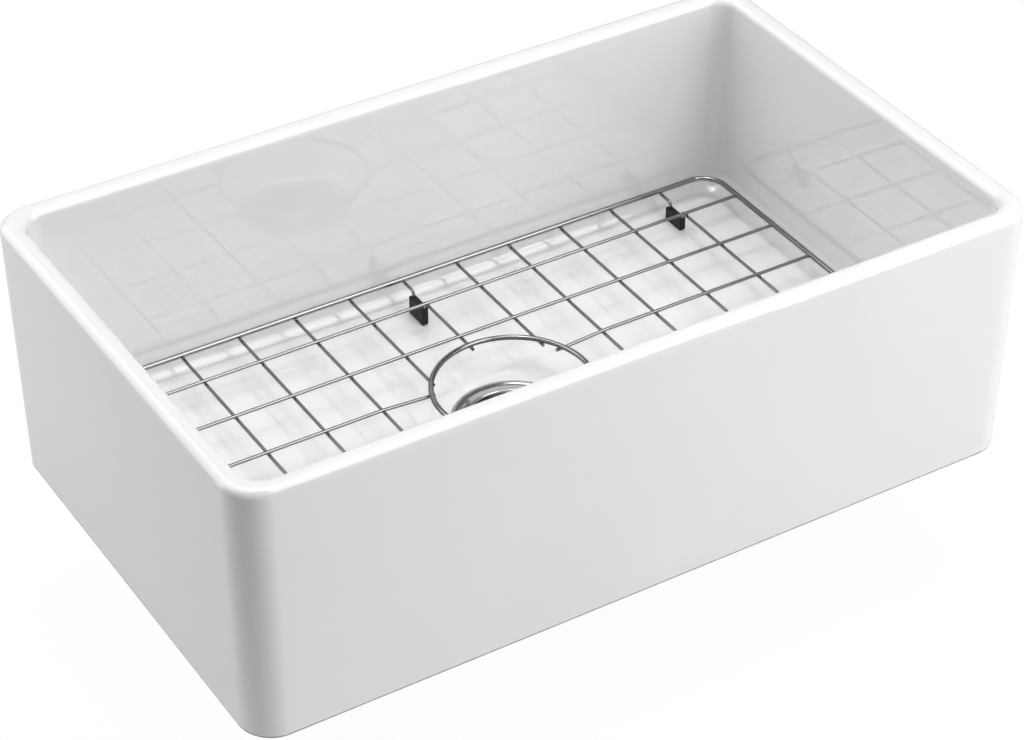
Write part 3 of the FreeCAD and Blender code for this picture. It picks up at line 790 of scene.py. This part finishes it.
frameLow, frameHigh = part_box("grid_frame")
frameRadius = (frameHigh.z - frameLow.z) / 2
frameReach = frameHigh - Vector((frameRadius, frameRadius, frameRadius))
frameCorner = gridSizes["frameCorner"] * mm
framePath = []
for x, y, start in quarters:
    centre = Vector((x * (frameReach.x - frameCorner), y * (frameReach.y - frameCorner), frameReach.z))
    framePath += [centre + Vector((math.cos(a), math.sin(a), 0)) * frameCorner
                  for a in spread(math.radians(start), math.radians(start + 90), 16)]
addWire("grid_frame", framePath, frameRadius, closed=True)

ringLow, ringHigh, ringMiddle = wireBox("grid_ring")
ringRadius = (ringHigh.z - ringLow.z) / 2
ringReach = ringHigh.x - ringRadius
addWire("grid_ring", [Vector((ringReach * math.cos(a), ringReach * math.sin(a), ringMiddle.z))
                      for a in spread(0, 2 * math.pi, 96)[:-1]], ringRadius, closed=True)

crossNodes = sorted(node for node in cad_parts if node.startswith("cross_wire"))
longNodes = sorted(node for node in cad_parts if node.startswith("long_wire"))
footNodes = sorted(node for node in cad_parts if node.startswith("grid_foot"))
footMiddles = [wireBox(node)[2] for node in footNodes]


def dipPoints(x, footY, level):
    # into the foot and out again, from the back to the front
    outer, inner = gridSizes["dipOuter"] * mm, gridSizes["dipInner"] * mm
    start, end = (footY + outer, footY - inner) if footY > 0 else (footY + inner, footY - outer)
    low = level - gridSizes["dipDepth"] * mm
    return [Vector((x, y, z)) for y, z in ((start, level), (start, low), (end, low), (end, level))]


crossWires = []  # x, lowest y, highest y of each
for node in crossNodes:
    low, high, middle = wireBox(node)
    radius = (high.x - low.x) / 2
    level = high.z - radius
    corners = [Vector((middle.x, high.y, level))]
    feet = [f.y for f in footMiddles if abs(f.x - middle.x) < radius and low.y < f.y < high.y]
    for footY in sorted(feet, reverse=True):
        corners += dipPoints(middle.x, footY, level)
    corners.append(Vector((middle.x, low.y, level)))
    addWire(node, bentPath(corners, gridSizes["dipBend"] * mm), radius)
    crossWires.append((middle.x, low.y, high.y))
crossTop = level + radius  # where the long wires lie on the cross wires

longWires = []  # y, lowest x, highest x of each
for node in longNodes:
    low, high, middle = wireBox(node)
    radius = (high.y - low.y) / 2
    top = high.z - radius
    bottom = low.z + radius
    if top - bottom < 1 * mm:
        corners = [Vector((-frameReach.x, middle.y, top)), Vector((frameReach.x, middle.y, top))]
    else:
        # this one dips under the drain ring and ends just inside it
        side = 1 if middle.x > 0 else -1
        innerEnd = min(abs(low.x), abs(high.x))
        rampEnd = innerEnd + gridSizes["stub"] * mm + 2 * ringRadius
        corners = [Vector((side * x, middle.y, z)) for x, z in
                   ((frameReach.x, top), (rampEnd + gridSizes["rampLength"] * mm, top), (rampEnd, bottom),
                    (innerEnd, bottom))]
    addWire(node, bentPath(corners, gridSizes["rampBend"] * mm), radius)
    longWires.append((middle.y, low.x, high.x))


def gridWeldsMesh():
    beads = []

    def addBead(x, y, z, sizes):
        beads.append(beadMesh(Vector((x, y, z)), [size * mm for size in sizes]))
    for x, lowY, highY in crossWires:
        for y, lowX, highX in longWires:
            if lowY < y < highY and lowX < x < highX:
                onRamp = abs(y) < ringReach and math.hypot(x, y) < ringReach + gridSizes["rampLength"] * mm
                if not onRamp:
                    addBead(x, y, crossTop, gridWeld["crossing"])
        for y in (lowY, highY):
            onFrame = abs(abs(y) - frameReach.y) < frameRadius
            outward = -gridWeld["inward"] if onFrame else gridSizes["stub"]
            addBead(x, y + math.copysign(1, y) * outward * mm, crossTop, gridWeld["frame"])
    for y, lowX, highX in longWires:
        for x in (lowX, highX):
            if abs(x) > frameReach.x - 2 * frameRadius:
                addBead(math.copysign(frameReach.x - frameRadius, x), y,
                        frameReach.z - gridWeld["sunk"] * mm, gridWeld["butt"])
            else:
                addBead(x + math.copysign(gridSizes["stub"] * mm, x), y, crossTop, gridWeld["frame"])
    return joinMeshes(beads)


newPiece("gridWelds", gridWeldsMesh(), gridSteel, "grid", sharpAngle=70)

footSizes = dict(edge=0.4, corner=0.4, draft=0.06, seamProud=0.06, seamHalf=0.35)


def footMesh(low, high):
    # a moulded block: soft edges, a little draft, and the mould's parting ridge round its middle
    s = footSizes
    middle = (low + high) / 2
    half = (high - low) / 2
    edge = s["edge"] * mm
    turn = spread(0, math.pi / 2, 4)
    levels = [(low.z + edge * (1 - math.cos(a)), edge * (1 - math.sin(a))) for a in turn]
    levels += [(low.z + (high.z - low.z) * t, 0.0) for t in (0.3, 0.5, 0.7)]
    levels += [(high.z - edge * (1 - math.sin(a)), edge * (1 - math.cos(a))) for a in turn]
    seam = ((s["seamHalf"], s["seamProud"]), (0, 0), (-s["seamHalf"], s["seamProud"]))
    loops = []
    for level, inset in levels:
        inset += s["draft"] * mm * abs(level - middle.z) / half.z
        halfX, halfY = half.x - inset, half.y - inset
        corner = min(s["corner"] * mm, halfX - 0.2 * mm)
        loop = []
        for x, y, start in quarters:
            centre = Vector((middle.x + x * (halfX - corner), middle.y + y * (halfY - corner), level))
            for a in spread(math.radians(start), math.radians(start + 90), 5):
                loop.append(centre + Vector((math.cos(a), math.sin(a), 0)) * corner)
            if start in (90, 270):
                # the long faces get the parting ridge at their middle
                for offset, sunk in seam:
                    loop.append(Vector((middle.x + x * halfX - x * sunk * mm,
                                        middle.y + y * offset * mm, level)))
        loops.append(loop)
    points, faces = skinLoops(loops)
    count = len(loops[0])
    capLoop(points, faces, 0, count, Vector((middle.x, middle.y, low.z)))
    capLoop(points, faces, (len(loops) - 1) * count, count, Vector((middle.x, middle.y, high.z)))
    return points, faces


for node in footNodes:
    low, high, middle = wireBox(node)
    newPiece(node.replace("_", "-"), footMesh(low, high), footRubber, "grid", [node],
             sharpAngle=50)
print("bottom grid made")


# Floor, light and camera

floorSizes = dict(halfSize=6.0, level=-0.152, grey=0.80, showShadow=0.07, white=1.035, mirrored=0.45)


def floorFinish():
    # white to the camera and paler in reflections, with a faint trace of the shadow
    finish, tree, shader = newFinish("paleFloor")
    shader.inputs["Base Color"].default_value = (floorSizes["grey"],) * 3 + (1,)
    shader.inputs["Roughness"].default_value = 0.9
    rays = addNode(tree, "ShaderNodeLightPath")
    share = addNode(tree, "ShaderNodeMath", operation="MULTIPLY")
    share.inputs[1].default_value = 1 - floorSizes["showShadow"]
    seen = addNode(tree, "ShaderNodeMath", operation="MULTIPLY_ADD")
    tree.links.new(rays.outputs["Is Glossy Ray"], seen.inputs[0])
    seen.inputs[1].default_value = floorSizes["mirrored"]
    tree.links.new(rays.outputs["Is Camera Ray"], seen.inputs[2])
    tree.links.new(seen.outputs["Value"], share.inputs[0])
    white = addNode(tree, "ShaderNodeEmission", Strength=floorSizes["white"])
    white.inputs["Color"].default_value = (1, 1, 1, 1)
    mix = addNode(tree, "ShaderNodeMixShader")
    tree.links.new(share.outputs["Value"], mix.inputs["Fac"])
    tree.links.new(shader.outputs["BSDF"], mix.inputs[1])
    tree.links.new(white.outputs["Emission"], mix.inputs[2])
    tree.links.new(mix.outputs["Shader"], tree.nodes["Material Output"].inputs["Surface"])
    return finish


floorData = bpy.data.meshes.new("floor")
floorReach = floorSizes["halfSize"]
floorCorners = [(x * floorReach, y * floorReach, 0) for x, y in ((-1, -1), (1, -1), (1, 1), (-1, 1))]
floorData.from_pydata(floorCorners, [], [(0, 1, 2, 3)])
floorData.materials.append(floorFinish())
floor = bpy.data.objects.new("floor", floorData)
floor.location.z = floorSizes["level"]
bpy.context.scene.collection.objects.link(floor)

lamps = dict(  # azimuth from +Y toward +X, elevation, distance, width, height, watts
    frontLow=(135, 12, 2.5, 1.4, 1.4, 20.6),
    front=(150, 38, 2.5, 1.4, 1.4, 17.2),
    frontHigh=(135, 64, 2.5, 1.4, 1.4, 18.2),
    backLow=(-42, 18, 2.5, 1.9, 1.9, 20.6),
    backHigh=(-45, 64, 2.5, 2.4, 2.4, 34.0),
    top=(0, 89, 2.5, 0.8, 0.8, 12.4),
)
lampAim = 0.12  # the lamps point at the middle of the sink's height


def addLamp(name, azimuth, elevation, distance, width, height, watts):
    data = bpy.data.lights.new(name, "AREA")
    data.shape = "RECTANGLE"
    data.size = width
    data.size_y = height
    data.energy = watts
    lamp = bpy.data.objects.new(name, data)
    a, e = math.radians(azimuth), math.radians(elevation)
    direction = Vector((math.sin(a) * math.cos(e), math.cos(a) * math.cos(e), math.sin(e)))
    lamp.location = direction * distance + Vector((0, 0, lampAim))
    lamp.rotation_euler = direction.to_track_quat("Z", "Y").to_euler()
    bpy.context.scene.collection.objects.link(lamp)


for name, settings in lamps.items():
    addLamp(name, *settings)

skyShine = 0.22  # how bright the surroundings look in reflections; the camera sees them white
world = bpy.data.worlds.new("studio")
bpy.context.scene.world = world
world.use_nodes = True
sky = world.node_tree
background = sky.nodes["Background"]
background.inputs["Color"].default_value = (1, 1, 1, 1)
rays = addNode(sky, "ShaderNodeLightPath")
shine = addNode(sky, "ShaderNodeMath", operation="MULTIPLY_ADD")
sky.links.new(rays.outputs["Is Glossy Ray"], shine.inputs[0])
shine.inputs[1].default_value = skyShine
sky.links.new(rays.outputs["Is Camera Ray"], shine.inputs[2])
sky.links.new(shine.outputs["Value"], background.inputs["Strength"])

cameraView = dict(place=(-1.1354, -1.8502, 1.6866), tilt=53.578, roll=-0.039, turn=-31.493,
                  focalPixels=3080.9, imageWidth=1024)
cameraData = bpy.data.cameras.new("camera")
cameraData.sensor_width = 36
cameraData.lens = cameraView["focalPixels"] / cameraView["imageWidth"] * cameraData.sensor_width
camera = bpy.data.objects.new("camera", cameraData)
camera.location = cameraView["place"]
turn, tilt, roll = (Matrix.Rotation(math.radians(cameraView[name]), 3, axis)
                    for name, axis in (("turn", "Z"), ("tilt", "X"), ("roll", "Z")))
camera.rotation_euler = (turn @ tilt @ roll).to_euler()
bpy.context.scene.collection.objects.link(camera)
bpy.context.scene.camera = camera
bpy.context.scene.view_settings.view_transform = "Standard"
print("lights and camera set")
